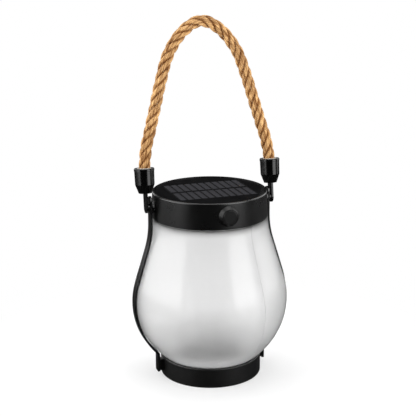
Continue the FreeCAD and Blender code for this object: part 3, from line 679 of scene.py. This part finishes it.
def from_axis(tree, place):
    """Distance of a place from the upright axis."""
    flat = tree.nodes.new("ShaderNodeVectorMath")
    flat.operation = "MULTIPLY"
    flat.inputs[1].default_value = (1, 1, 0)
    tree.links.new(place, flat.inputs[0])
    length = tree.nodes.new("ShaderNodeVectorMath")
    length.operation = "LENGTH"
    tree.links.new(flat.outputs["Vector"], length.inputs[0])
    return length.outputs["Value"]


print("place helpers: object_place, coordinate, from_axis")

# %% [markdown]
# ## White floor
# A packshot's floor is lit until it is as white as the background, and only a soft shadow is left
# under the object. That much light would bleach the jar. So the camera sees plain white further
# out, and near the lantern half of it is the lit floor with its shadow. In reflections the floor is
# dark, so that the black pieces stay black, and through the jar it is white again.

# %% Lay the floor
FLOOR_RADIUS = 9.0
FLOOR_WHITE = (0.92, 0.92, 0.92)
FLOOR_MIRRORED = (0.03, 0.03, 0.03)
SHADOW_NEAR = 100 * MM
SHADOW_FAR = 240 * MM
SHADOW_WHITE = 0.5


def floor_finish(name):
    """Matt white that turns to plain white, for the camera, away from the lantern."""
    material = bpy.data.materials.new(name)
    material.use_nodes = True
    tree = material.node_tree
    tree.nodes.clear()
    rays = tree.nodes.new("ShaderNodeLightPath").outputs
    mirrored = calculate(tree, "GREATER_THAN", rays["Is Glossy Ray"], rays["Is Transmission Ray"])
    matt = tree.nodes.new("ShaderNodeBsdfDiffuse")
    tone = blend_colours(tree, mirrored, FLOOR_WHITE, FLOOR_MIRRORED)
    tree.links.new(tone, matt.inputs["Color"])
    plain = tree.nodes.new("ShaderNodeEmission")
    plain.inputs["Color"].default_value = WHITE
    outwards = fade(tree, from_axis(tree, object_place(tree)), SHADOW_NEAR, SHADOW_FAR, SHADOW_WHITE)
    pick = tree.nodes.new("ShaderNodeMixShader")
    tree.links.new(calculate(tree, "MULTIPLY", outwards, rays["Is Camera Ray"]), pick.inputs["Fac"])
    tree.links.new(matt.outputs[0], pick.inputs[1])
    tree.links.new(plain.outputs[0], pick.inputs[2])
    output = tree.nodes.new("ShaderNodeOutputMaterial")
    tree.links.new(pick.outputs[0], output.inputs["Surface"])
    return material


bpy.ops.mesh.primitive_circle_add(vertices=96, radius=FLOOR_RADIUS, fill_type="NGON")
floor = bpy.context.object
floor.name = "studio_floor"
floor.data.materials.append(floor_finish("floor_white"))
print("floor", 2 * FLOOR_RADIUS, "m across")

# %% [markdown]
# ## Finishes
# Each finish is a small tree on the Principled shader. It starts from a plain colour and a plain
# roughness, and noise patterns then vary them: a slow noise for clouds in the colour or gloss, a
# fine one for grain that a Bump node raises.

# %% Helpers for finishes


def new_finish(name, colour, roughness):
    """Material with a Principled shader, with its node tree and the shader."""
    material = bpy.data.materials.new(name)
    material.use_nodes = True
    shader = material.node_tree.nodes["Principled BSDF"]
    shader.inputs["Base Color"].default_value = (*colour, 1)
    shader.inputs["Roughness"].default_value = roughness
    return material, material.node_tree, shader


def noise(tree, place, scale, detail=4.0):
    """Noise pattern; the scale counts its waves in one unit of the place."""
    texture = tree.nodes.new("ShaderNodeTexNoise")
    texture.inputs["Scale"].default_value = scale
    texture.inputs["Detail"].default_value = detail
    tree.links.new(place, texture.inputs["Vector"])
    return texture.outputs["Fac"]


def spread(tree, value, low, high, half=0.2):
    """Map a noise value, from half below to half above its middle, to a range."""
    ranged = tree.nodes.new("ShaderNodeMapRange")
    ranged.inputs["From Min"].default_value = 0.5 - half
    ranged.inputs["From Max"].default_value = 0.5 + half
    ranged.inputs["To Min"].default_value = low
    ranged.inputs["To Max"].default_value = high
    tree.links.new(value, ranged.inputs["Value"])
    return ranged.outputs["Result"]


def bump(tree, height, distance, strength=1.0):
    """Surface direction of a pattern that is raised by a distance."""
    raised = tree.nodes.new("ShaderNodeBump")
    raised.inputs["Distance"].default_value = distance
    raised.inputs["Strength"].default_value = strength
    tree.links.new(height, raised.inputs["Height"])
    return raised.outputs["Normal"]


def wear(node_name, material):
    """Give a CAD piece one finish all over."""
    slots = frame["nodes"][node_name].data.materials
    slots.clear()
    slots.append(material)


print("CAD pieces that can wear a finish", len(frame["nodes"]))

# %% [markdown]
# ## Black moulded plastic
# The cap, base, straps and rope ends are moulded in black plastic with a satin skin. Black shows
# its form by gloss alone, so the colour is nearly flat, a slow noise varies the roughness and a
# fine one raises the moulded grain. The rope ends are glossier, the base cup is duller, and the
# button and the ring round it are the dullest. One table gives each finish its roughness, its
# gloss and its pieces.

# %% Black moulded plastic
PLASTIC_BLACK = (0.0006, 0.0006, 0.0006)
PLASTIC_CLOUD = (0.0009, 0.0009, 0.0009)
PLASTIC_CLOUD_SCALE = 60.0
GRAIN_SCALE = 2600.0
GRAIN_DETAIL = 2.0
GRAIN_HEIGHT = 0.02 * MM
GRAIN_STRENGTH = 0.12
SMOOTHER = 0.02
ROUGHER = 0.03
BLACK_FINISHES = {
    "satin_black": (0.28, 0.95, ("cap_housing", "left_strap", "right_strap", "light_tray")),
    "base_black": (0.4, 1.0, ("base_cup",)),
    "gloss_black": (0.17, 0.6, ("left_rope_end", "right_rope_end")),
    "matt_black": (0.42, 0.5, ("button_bezel", "push_button", "switch_body", "switch_plunger")),
}


def black_plastic(name, roughness, gloss):
    """Black plastic with a slightly cloudy gloss and a fine moulded grain."""
    material, tree, shader = new_finish(name, PLASTIC_BLACK, roughness)
    place = object_place(tree)
    cloud = noise(tree, place, PLASTIC_CLOUD_SCALE)
    grain = noise(tree, place, GRAIN_SCALE, GRAIN_DETAIL)
    tone = blend_colours(tree, cloud, PLASTIC_BLACK, PLASTIC_CLOUD)
    tree.links.new(tone, shader.inputs["Base Color"])
    dullness = spread(tree, cloud, roughness - SMOOTHER, roughness + ROUGHER)
    tree.links.new(dullness, shader.inputs["Roughness"])
    tree.links.new(bump(tree, grain, GRAIN_HEIGHT, GRAIN_STRENGTH), shader.inputs["Normal"])
    shader.inputs["Specular IOR Level"].default_value = gloss
    return material


for finish_name, (roughness, gloss, node_names) in BLACK_FINISHES.items():
    finish = black_plastic(finish_name, roughness, gloss)
    for node_name in node_names:
        wear(node_name, finish)
    print(finish_name, "on", ", ".join(node_names))

# %% [markdown]
# ## Solar panel
# The panel is a round black board under a thin coat of resin, and it is less glossy than the cap.
# A single roughness would look like paint, so one noise makes the gloss a little uneven, as a
# poured surface is.

# %% Solar panel
RESIN_BLACK = (0.004, 0.004, 0.0045)
RESIN_ROUGHNESS = (0.25, 0.36)
RESIN_CLOUD_SCALE = 90.0
RESIN_GLOSS = 0.16


def panel_resin(name):
    """Black resin with an uneven gloss."""
    material, tree, shader = new_finish(name, RESIN_BLACK, RESIN_ROUGHNESS[0])
    cloud = noise(tree, object_place(tree), RESIN_CLOUD_SCALE)
    tree.links.new(spread(tree, cloud, *RESIN_ROUGHNESS), shader.inputs["Roughness"])
    shader.inputs["Specular IOR Level"].default_value = RESIN_GLOSS
    return material


wear("solar_panel", panel_resin("panel_resin"))
print("panel roughness", RESIN_ROUGHNESS)

# %% [markdown]
# ## Solar cells
# Two rows of dark grey cells lie on the panel. A Wave texture draws their fine screen lines. Their
# long edges are scribed dark: the X coordinate is folded at the cells' spacing, so that one fade
# serves every cell and no picture is needed. The short edges along the middle of the panel are
# dark too, and the absolute value of Y finds them.

# %% Solar cells
CELL_PITCH = 6.04 * MM
CELL_DARK = (0.03, 0.03, 0.034)
CELL_LIGHT = (0.044, 0.044, 0.05)
CELL_SCRIBED = (0.006, 0.006, 0.007)
CELL_ROUGHNESS = 0.4
SCREEN_SCALE = 260.0
LONG_EDGE = (2.05 * MM, 2.4 * MM)
SHORT_EDGE = (2.4 * MM, 1.7 * MM)


def cell_silicon(name):
    """Dark grey cells with screen lines and scribed edges."""
    material, tree, shader = new_finish(name, CELL_LIGHT, CELL_ROUGHNESS)
    place = object_place(tree)
    lines = tree.nodes.new("ShaderNodeTexWave")
    lines.wave_type = "BANDS"
    lines.bands_direction = "Y"
    lines.inputs["Scale"].default_value = SCREEN_SCALE
    tree.links.new(place, lines.inputs["Vector"])
    grey = blend_colours(tree, lines.outputs["Fac"], CELL_DARK, CELL_LIGHT)
    fold = calculate(tree, "PINGPONG", coordinate(tree, place, "X"), CELL_PITCH / 2)
    from_middle = calculate(tree, "ABSOLUTE", coordinate(tree, place, "Y"))
    edge = calculate(tree, "MAXIMUM", fade(tree, fold, *LONG_EDGE),
                     fade(tree, from_middle, *SHORT_EDGE))
    tone = blend_colours(tree, edge, grey, CELL_SCRIBED)
    tree.links.new(tone, shader.inputs["Base Color"])
    shader.inputs["Specular IOR Level"].default_value = RESIN_GLOSS
    return material


wear("solar_cells", cell_silicon("cell_silicon"))
print("cells", round(CELL_PITCH / MM, 2), "mm apart")

# %% [markdown]
# ## Frosted jar
# The jar is clear plastic, frosted so that the lamp's light spreads, with a smooth outside. A mix
# of clear and matt shaders would show what is behind it as a sharp ghost. Rough transmission blurs
# it, as frost does, and a coat over it keeps the softboxes' bands clean. The thick corner of the
# bottom scatters more light than the wall. Shade is painted into the jar's colour, by height and
# by distance from the axis: a dark patch in the middle of the bottom for the black base seen
# through it, and a dark band at the neck for the black tray and the shade under the cap.

# %% Frosted jar
JAR_WHITE = (0.86, 0.86, 0.86)
# painted shade: the dark colour put where the black base and tray would show through the jar
PAINTED_SHADE_BLACK = (0.02, 0.02, 0.02)
JAR_ROUGHNESS = 0.31
JAR_UNEVEN = 0.02
JAR_CLOUD_SCALE = 40.0
WALL_CLEAR = 0.85
CORNER_CLEAR = 0.35
CORNER_HEIGHT = (34.0 * MM, 16.0 * MM)
CORNER_REACH = (24.0 * MM, 33.0 * MM)
# painted shade: its place in the middle of the bottom and in a band at the neck, and the band's
# strength
BOTTOM_SHADE_HEIGHT = (18.0 * MM, 15.0 * MM)
BOTTOM_SHADE_REACH = (34.0 * MM, 21.0 * MM)
NECK_SHADE_HEIGHT = (131.0 * MM, 139.5 * MM)
NECK_SHADE_STRENGTH = 0.82
JAR_IOR = 1.25
COAT_WEIGHT = 0.65
COAT_ROUGHNESS = 0.04


def frosted_jar(name):
    """Frosted plastic under a smooth coat, with shade painted at the bottom and the neck."""
    material, tree, shader = new_finish(name, JAR_WHITE, JAR_ROUGHNESS)
    place = object_place(tree)
    height = coordinate(tree, place, "Z")
    reach = from_axis(tree, place)
    cloud = noise(tree, place, JAR_CLOUD_SCALE)
    frost = spread(tree, cloud, JAR_ROUGHNESS - JAR_UNEVEN, JAR_ROUGHNESS + JAR_UNEVEN)
    tree.links.new(frost, shader.inputs["Roughness"])
    # the wall lets light through, and the thick corner of the bottom scatters it
    corner = calculate(tree, "MULTIPLY", fade(tree, height, *CORNER_HEIGHT),
                       fade(tree, reach, *CORNER_REACH))
    clear = calculate(tree, "MULTIPLY_ADD", corner, CORNER_CLEAR - WALL_CLEAR, WALL_CLEAR)
    tree.links.new(clear, shader.inputs["Transmission Weight"])
    # painted shade: the black base seen through the bottom, the tray and cap's shade at the neck
    bottom = calculate(tree, "MULTIPLY", fade(tree, height, *BOTTOM_SHADE_HEIGHT),
                       fade(tree, reach, *BOTTOM_SHADE_REACH))
    dark = calculate(tree, "MULTIPLY_ADD", fade(tree, height, *NECK_SHADE_HEIGHT), NECK_SHADE_STRENGTH, bottom)
    tone = blend_colours(tree, dark, JAR_WHITE, PAINTED_SHADE_BLACK)
    tree.links.new(tone, shader.inputs["Base Color"])
    shader.inputs["IOR"].default_value = JAR_IOR
    shader.inputs["Coat Weight"].default_value = COAT_WEIGHT
    shader.inputs["Coat Roughness"].default_value = COAT_ROUGHNESS
    return material


jar_finish = frosted_jar("frosted_jar")
wear("jar", jar_finish)
jar_line.data.materials.clear()
jar_line.data.materials.append(jar_finish)
print("jar finish has", len(jar_finish.node_tree.nodes), "nodes")

# %% [markdown]
# ## Jute
# A strand is a bundle of long straw-coloured fibres. Where two strands meet, brown shade is painted
# into the crease. The rope's UV map runs round and along the strands in millimetres. Noise
# stretched along the yarns makes streaks of three widths, and folding the map's first number finds
# the seams: the middle of a strand is at 0 of every ten millimetres, and its seams are nearly 4 on
# either side. The yarns wander over a seam, so the painted shade is wider in one place than in
# another.

# %% Jute rope
JUTE_MIDDLE = (0.5, 0.29, 0.1)
JUTE_BROWN = (0.22, 0.08, 0.016)
JUTE_STRAW = (0.92, 0.56, 0.24)
JUTE_ROUGHNESS = 0.7
JUTE_GLOSS = 0.25
STREAK_STRETCH = 0.07
STREAK_HALF = 0.10
STREAK_HEIGHT = 0.25 * MM
HAIR_HEIGHT = 0.5
# waves to the millimetre, detail and share of the colour
STREAKS = {"hair": (3.6, 3.0, 0.18), "fine": (0.75, 5.0, 0.55), "broad": (0.35, 2.0, 0.27)}
# painted shade in the seams between strands: its colour, its edges in millimetres and its wander
SEAM_SHADE = (0.42, 0.29, 0.17)
SEAM_EDGE_MM = (1.4, 3.6)
SEAM_WANDER_MM = 1.1


def jute_yarn(name):
    """Straw-coloured yarn with streaks along it and painted shade in the seams between strands."""
    material, tree, shader = new_finish(name, JUTE_MIDDLE, JUTE_ROUGHNESS)
    place = tree.nodes.new("ShaderNodeTexCoord").outputs["UV"]
    around = coordinate(tree, place, "X")
    along = coordinate(tree, place, "Y")
    # along a yarn the first number stays the same and the second grows slowly
    yarn = tree.nodes.new("ShaderNodeCombineXYZ")
    feed(tree, yarn.inputs["X"], calculate(tree, "MULTIPLY_ADD", along, ROPE_SLANT, around))
    feed(tree, yarn.inputs["Y"], calculate(tree, "MULTIPLY", along, STREAK_STRETCH))
    streaks = {}
    mixed = 0.0
    for streak, (scale, detail, share) in STREAKS.items():
        streaks[streak] = noise(tree, yarn.outputs[0], scale, detail)
        mixed = calculate(tree, "MULTIPLY_ADD", streaks[streak], share, mixed)
    straw = blend_colours(tree, spread(tree, mixed, 0.0, 1.0, STREAK_HALF), JUTE_BROWN, JUTE_STRAW)
    # painted shade: the seams between strands are darkened, as the creases lie in shade
    fold = calculate(tree, "PINGPONG", around, STRAND_SPACING_MM / 2)
    wander = spread(tree, streaks["broad"], -SEAM_WANDER_MM, SEAM_WANDER_MM)
    seam = fade(tree, calculate(tree, "ADD", fold, wander), *SEAM_EDGE_MM)
    tone = blend_colours(tree, seam, straw, SEAM_SHADE, "MULTIPLY")
    tree.links.new(tone, shader.inputs["Base Color"])
    ridges = calculate(tree, "MULTIPLY_ADD", streaks["hair"], HAIR_HEIGHT, streaks["fine"])
    tree.links.new(bump(tree, ridges, STREAK_HEIGHT), shader.inputs["Normal"])
    shader.inputs["Specular IOR Level"].default_value = JUTE_GLOSS
    return material


rope.data.materials.append(jute_yarn("jute_yarn"))
print("jute finish has", len(rope.data.materials[0].node_tree.nodes), "nodes")

# %% [markdown]
# ## Fibre finish
# A loose fibre is paler than the rope, because light shines through it. The fibres have no UV map
# of their own, so a fine noise on Object coordinates gives one fibre a browner tint than the next.

# %% Loose fibres' finish
FIBRE_BROWN = (0.5, 0.3, 0.12)
FIBRE_STRAW = (0.92, 0.74, 0.48)
FIBRE_ROUGHNESS = 0.6
FIBRE_TINT_SCALE = 400.0


def loose_jute(name):
    """Pale jute whose tint differs from fibre to fibre."""
    material, tree, shader = new_finish(name, FIBRE_STRAW, FIBRE_ROUGHNESS)
    tint = noise(tree, object_place(tree), FIBRE_TINT_SCALE)
    tone = blend_colours(tree, tint, FIBRE_BROWN, FIBRE_STRAW)
    tree.links.new(tone, shader.inputs["Base Color"])
    return material


fibres.data.materials.append(loose_jute("loose_jute"))
print("fibre finish on", FIBRES, "fibres")

# %% [markdown]
# ## Pieces inside the cap, and the glue
# The boards, the cell, the leads and the screws are hidden until someone opens the cap. Each has a
# plain finish with a slight mottle. One table gives each finish its colour, its roughness, how far
# it is a metal, and its pieces. The glue beads take the same kind of finish.

# %% Pieces inside the cap, and the glue
MOTTLE_SCALE = 300.0
MOTTLE_SHADE = 0.8
GLUE_WHITE = (0.78, 0.75, 0.68)
GLUE_ROUGHNESS = 0.3
INNER_FINISHES = {
    "seal_rubber": ((0.04, 0.04, 0.04), 0.8, 0.0, ("neck_seal",)),
    "zinc_steel": ((0.6, 0.6, 0.6), 0.35, 1.0,
                   ("pivot_washers", "pivot_screws", "tray_screws", "battery_contacts")),
    "white_mask": ((0.8, 0.8, 0.78), 0.4, 0.0, ("led_board",)),
    "green_mask": ((0.03, 0.16, 0.07), 0.4, 0.0, ("control_board", "switch_board")),
    "phosphor_resin": ((0.85, 0.7, 0.25), 0.3, 0.0, ("leds",)),
    "lens_frost": ((0.06, 0.06, 0.06), 0.4, 0.0, ("led_lens",)),
    "battery_sleeve": ((0.2, 0.35, 0.5), 0.35, 0.0, ("battery",)),
    "lead_sleeve": ((0.4, 0.03, 0.02), 0.5, 0.0,
                    ("panel_leads", "led_leads", "battery_leads", "switch_leads")),
}


def plain_finish(name, colour, roughness, metallic=0.0):
    """One colour with a slight mottle."""
    material, tree, shader = new_finish(name, colour, roughness)
    cloud = noise(tree, object_place(tree), MOTTLE_SCALE)
    darker = tuple(MOTTLE_SHADE * value for value in colour)
    tree.links.new(blend_colours(tree, cloud, darker, colour), shader.inputs["Base Color"])
    shader.inputs["Metallic"].default_value = metallic
    return material


for finish_name, (colour, roughness, metallic, node_names) in INNER_FINISHES.items():
    finish = plain_finish(finish_name, colour, roughness, metallic)
    for node_name in node_names:
        wear(node_name, finish)
    print(finish_name, "on", ", ".join(node_names))

glue = plain_finish("melt_glue", GLUE_WHITE, GLUE_ROUGHNESS)
for bead in (left_bead, right_bead):
    bead.data.materials.append(glue)
